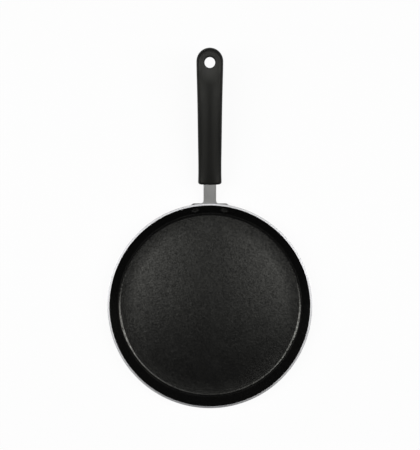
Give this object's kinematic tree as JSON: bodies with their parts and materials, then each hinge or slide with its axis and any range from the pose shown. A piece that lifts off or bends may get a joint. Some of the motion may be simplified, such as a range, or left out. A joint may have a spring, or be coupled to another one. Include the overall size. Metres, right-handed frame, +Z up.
{
  "type": "crepe pan",
  "caption": "Shallow round non-stick crepe pan with a low flared wall and one long riveted handle with a soft black grip and a hang hole.",
  "frame": {"origin": "centre of the pan's flat underside", "axes": "+Z up out of the pan, +Y along the handle from the pan to the grip's tip, +X to the right seen from above with the handle pointing away"},
  "size_m": [0.254, 0.4392, 0.0618],
  "materials": {
    "pan_aluminium": "satin outside with a machined lip",
    "coating": "fine-textured black non-stick film",
    "rivet_aluminium": "pressed, slightly dull",
    "bracket_steel": "bead-blasted, matte",
    "grip_rubber": "matte soft-touch",
    "core_nylon": "glass-filled nylon, unseen",
    "screw_steel": "zinc-plated"
  },
  "bodies": {
    "root": {"pan_body": "pan_aluminium", "nonstick_coating": "coating", "rivet_left": "rivet_aluminium", "rivet_right": "rivet_aluminium", "handle_bracket": "bracket_steel", "grip_sleeve": "grip_rubber", "grip_core": "core_nylon", "grip_screw": "screw_steel"}
  },
  "joints": []
}
